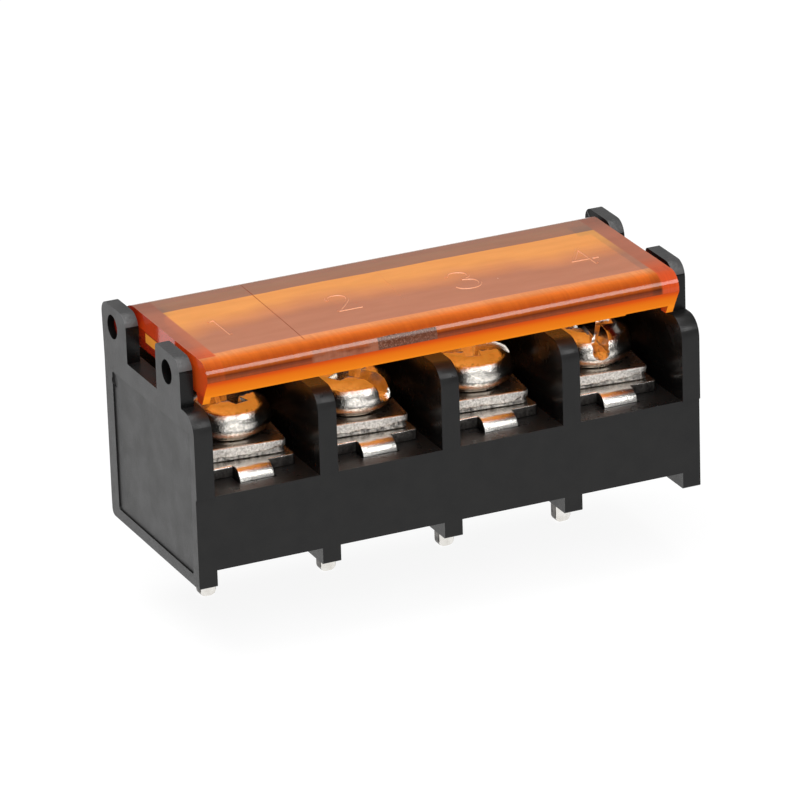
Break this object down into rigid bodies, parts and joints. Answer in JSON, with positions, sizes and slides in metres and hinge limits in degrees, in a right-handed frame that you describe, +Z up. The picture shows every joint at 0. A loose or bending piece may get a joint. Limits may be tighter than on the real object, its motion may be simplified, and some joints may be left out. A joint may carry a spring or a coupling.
{
  "type": "barrier terminal strip",
  "caption": "Board-mount barrier terminal strip: black body with upright dividers, screw clamps with square washers, and a hinged transparent amber cover.",
  "frame": {"origin": "centre of the seating plane, on the underside of the middle foot rib", "axes": "+X along the row of poles from pole 1 to pole 4, -Y the wire side, +Z up away from the board"},
  "size_m": [0.0394, 0.0162, 0.0227],
  "materials": {
    "black_plastic": "moulded, satin on the front and fine spark texture on the end faces",
    "amber_clear": "polished transparent amber",
    "tinned_metal": "bright tin plate",
    "plated_steel": "nickel plate, sheared edges",
    "nickel_screw": "bright nickel plate"
  },
  "bodies": {
    "housing": {"housing": "black_plastic", "terminal_1": "tinned_metal", "terminal_2": "tinned_metal", "terminal_3": "tinned_metal", "terminal_4": "tinned_metal"},
    "cover": {"cover": "amber_clear"},
    "washer_1": {"clamp_washer_1": "plated_steel"},
    "screw_1": {"clamp_screw_1": "nickel_screw"},
    "washer_2": {"clamp_washer_2": "plated_steel"},
    "screw_2": {"clamp_screw_2": "nickel_screw"},
    "washer_3": {"clamp_washer_3": "plated_steel"},
    "screw_3": {"clamp_screw_3": "nickel_screw"},
    "washer_4": {"clamp_washer_4": "plated_steel"},
    "screw_4": {"clamp_screw_4": "nickel_screw"}
  },
  "joints": [
    {"name": "cover_hinge", "type": "hinge", "parent": "housing", "child": "cover", "pos_m": [0, 0.0062, 0.01498], "axis": [-1, 0, 0], "range_deg": [0, 170]},
    {"name": "washer_lift_1", "type": "slide", "parent": "housing", "child": "washer_1", "axis": [0, 0, 1], "range_m": [0, 0.0024]},
    {"name": "screw_turn_1", "type": "hinge", "parent": "washer_1", "child": "screw_1", "pos_m": [-0.01425, -0.00119, 0.009], "axis": [0, 0, 1], "range_deg": [0, 1440]},
    {"name": "washer_lift_2", "type": "slide", "parent": "housing", "child": "washer_2", "axis": [0, 0, 1], "range_m": [0, 0.0024]},
    {"name": "screw_turn_2", "type": "hinge", "parent": "washer_2", "child": "screw_2", "pos_m": [-0.00475, -0.00119, 0.009], "axis": [0, 0, 1], "range_deg": [0, 1440]},
    {"name": "washer_lift_3", "type": "slide", "parent": "housing", "child": "washer_3", "axis": [0, 0, 1], "range_m": [0, 0.0024]},
    {"name": "screw_turn_3", "type": "hinge", "parent": "washer_3", "child": "screw_3", "pos_m": [0.00475, -0.00119, 0.009], "axis": [0, 0, 1], "range_deg": [0, 1440]},
    {"name": "washer_lift_4", "type": "slide", "parent": "housing", "child": "washer_4", "axis": [0, 0, 1], "range_m": [0, 0.0024]},
    {"name": "screw_turn_4", "type": "hinge", "parent": "washer_4", "child": "screw_4", "pos_m": [0.01425, -0.00119, 0.009], "axis": [0, 0, 1], "range_deg": [0, 1440]}
  ],
  "couplings": [
    {"joint": "screw_turn_1", "follows": "washer_lift_1", "rad_per_m": 10472},
    {"joint": "screw_turn_2", "follows": "washer_lift_2", "rad_per_m": 10472},
    {"joint": "screw_turn_3", "follows": "washer_lift_3", "rad_per_m": 10472},
    {"joint": "screw_turn_4", "follows": "washer_lift_4", "rad_per_m": 10472}
  ]
}
